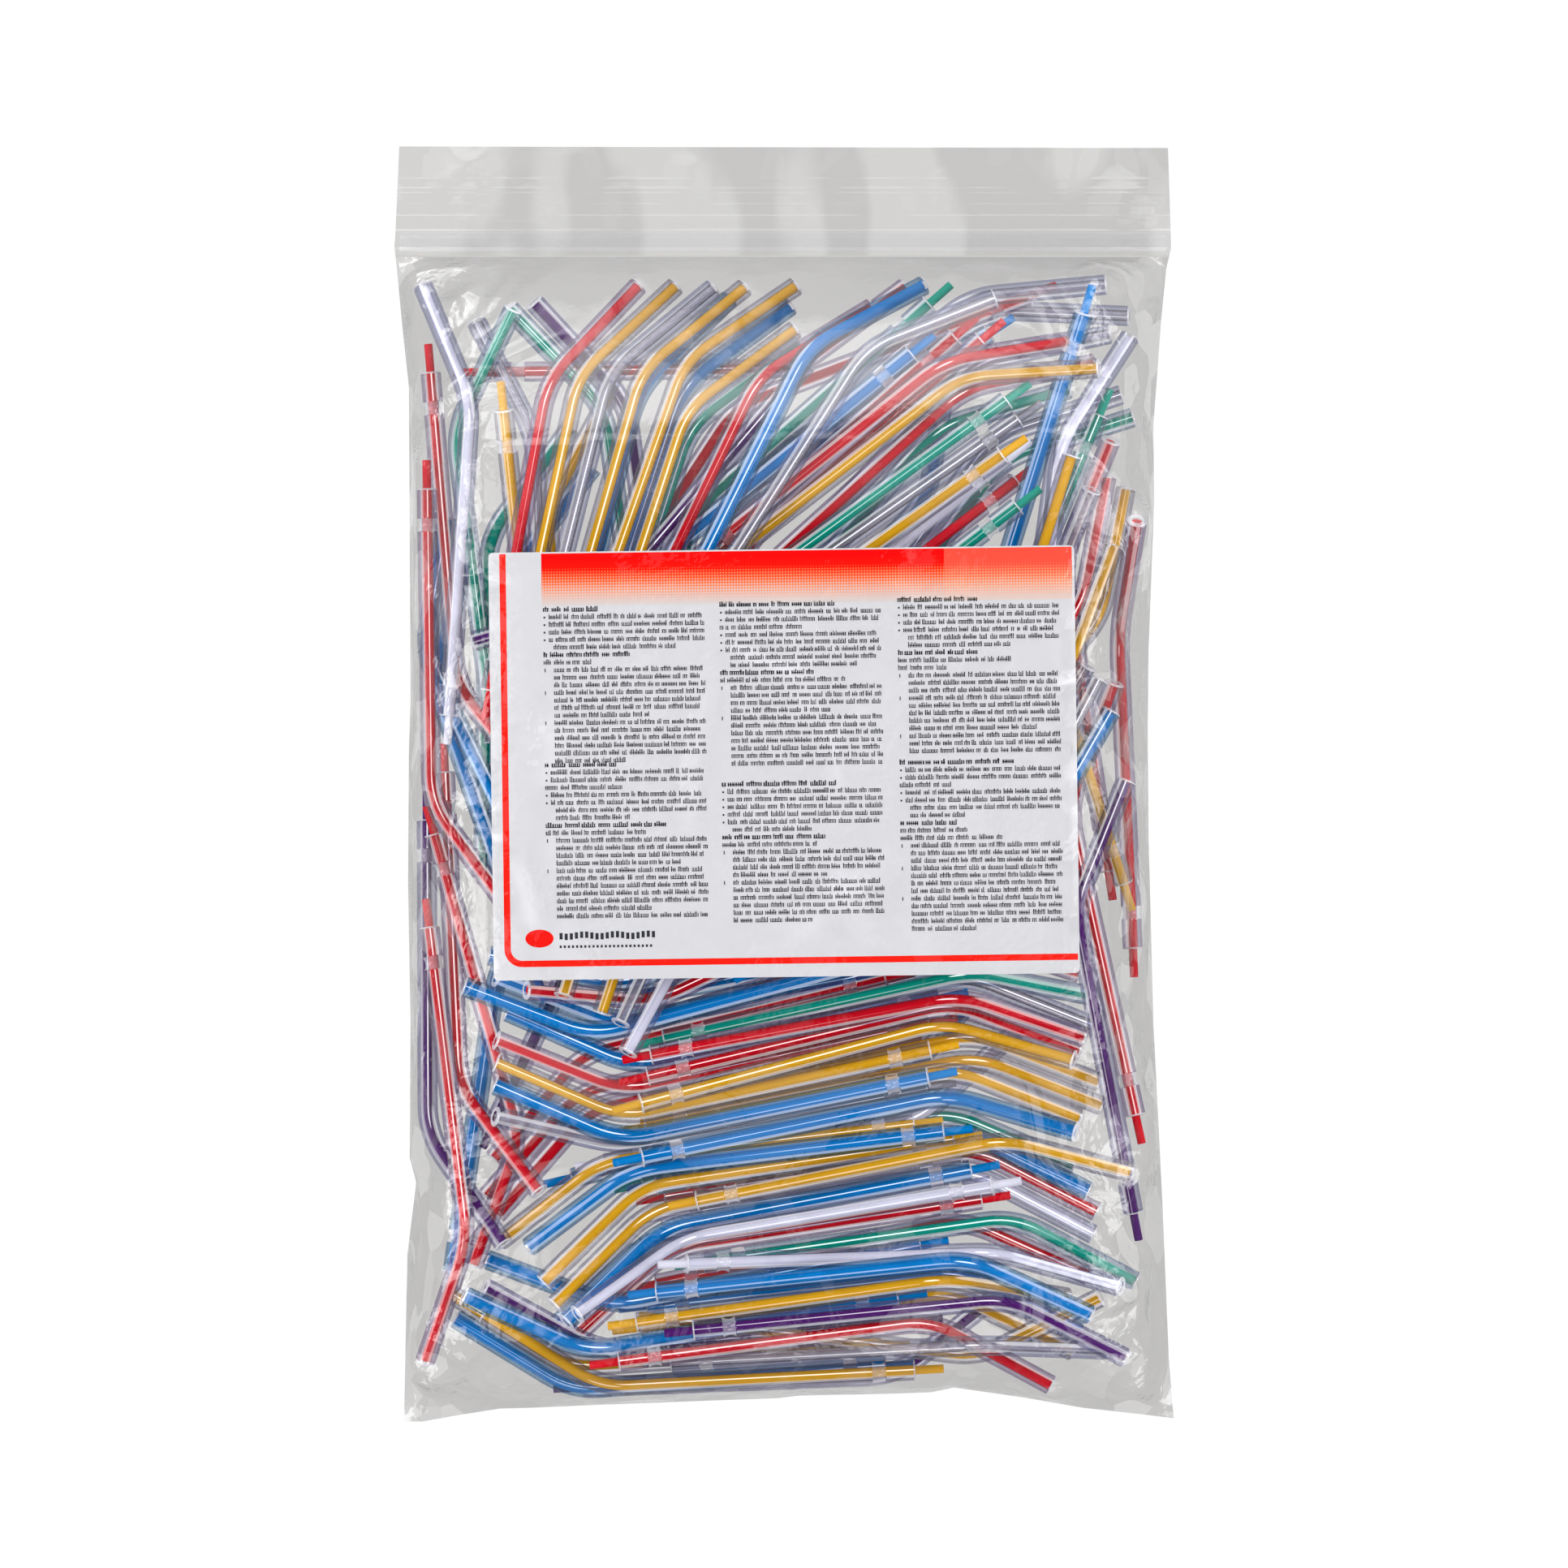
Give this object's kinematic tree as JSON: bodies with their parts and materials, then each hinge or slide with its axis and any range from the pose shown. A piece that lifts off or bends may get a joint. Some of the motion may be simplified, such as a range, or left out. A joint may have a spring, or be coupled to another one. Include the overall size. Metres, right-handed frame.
{
  "type": "pack of dental air and water syringe tips",
  "caption": "Clear resealable bag lying flat, filled with disposable bent two-piece syringe tips, each a clear sleeve round a coloured core tube, with a printed card on top.",
  "frame": {"origin": "middle of the bounding box's underside, on the back film", "axes": "+Y towards the zipper, +Z out of the front of the bag, +X to the right seen from the front"},
  "size_m": [0.1532, 0.2506, 0.0269],
  "materials": {
    "bag_film": "clear polyethylene film, glossy",
    "zipper": "clear moulded polyethylene",
    "card": "coated white card",
    "tips_below": "grey, for tips seen in depth",
    "sleeve": "water-clear hard plastic",
    "core_blue": "coloured soft plastic tube",
    "core_clear": "clear soft plastic tube",
    "core_green": "coloured soft plastic tube",
    "core_purple": "coloured soft plastic tube",
    "core_red": "coloured soft plastic tube",
    "core_white": "coloured soft plastic tube",
    "core_yellow": "coloured soft plastic tube"
  },
  "bodies": {
    "root": {"bag_back": "bag_film", "bag_front": "bag_film", "zipper_back": "zipper", "loose_tips": "tips_below", "tip_01_sleeve": "sleeve", "tip_01_core": "core_red", "tip_02_sleeve": "sleeve", "tip_02_core": "core_red", "tip_03_sleeve": "sleeve", "tip_03_core": "core_yellow", "tip_04_sleeve": "sleeve", "tip_04_core": "core_clear", "tip_05_sleeve": "sleeve", "tip_05_core": "core_yellow", "tip_06_sleeve": "sleeve", "tip_06_core": "core_blue", "tip_07_sleeve": "sleeve", "tip_07_core": "core_clear", "tip_08_sleeve": "sleeve", "tip_08_core": "core_yellow", "tip_09_sleeve": "sleeve", "tip_09_core": "core_green", "tip_10_sleeve": "sleeve", "tip_10_core": "core_red", "tip_11_sleeve": "sleeve", "tip_11_core": "core_clear", "tip_12_sleeve": "sleeve", "tip_12_core": "core_yellow", "tip_13_sleeve": "sleeve", "tip_13_core": "core_blue", "tip_14_sleeve": "sleeve", "tip_14_core": "core_purple", "tip_15_sleeve": "sleeve", "tip_15_core": "core_white", "tip_16_sleeve": "sleeve", "tip_16_core": "core_red", "tip_17_sleeve": "sleeve", "tip_17_core": "core_yellow", "tip_18_sleeve": "sleeve", "tip_18_core": "core_blue", "tip_19_sleeve": "sleeve", "tip_19_core": "core_yellow", "tip_20_sleeve": "sleeve", "tip_20_core": "core_blue", "tip_21_sleeve": "sleeve", "tip_21_core": "core_white", "tip_22_sleeve": "sleeve", "tip_22_core": "core_green", "tip_23_sleeve": "sleeve", "tip_23_core": "core_yellow", "tip_24_sleeve": "sleeve", "tip_24_core": "core_purple", "tip_25_sleeve": "sleeve", "tip_25_core": "core_red"},
    "mouth": {"lip_front": "bag_film", "zipper_front": "zipper"},
    "card": {"insert_card": "card"}
  },
  "joints": [
    {"name": "mouth_open", "type": "hinge", "parent": "root", "child": "mouth", "pos_m": [0, 0.10365, 0.00278], "axis": [1, 0, 0], "range_deg": [0, 75]},
    {"name": "card_shift", "type": "slide", "parent": "root", "child": "card", "axis": [0, 1, 0], "range_m": [-0.01, 0.02]}
  ]
}
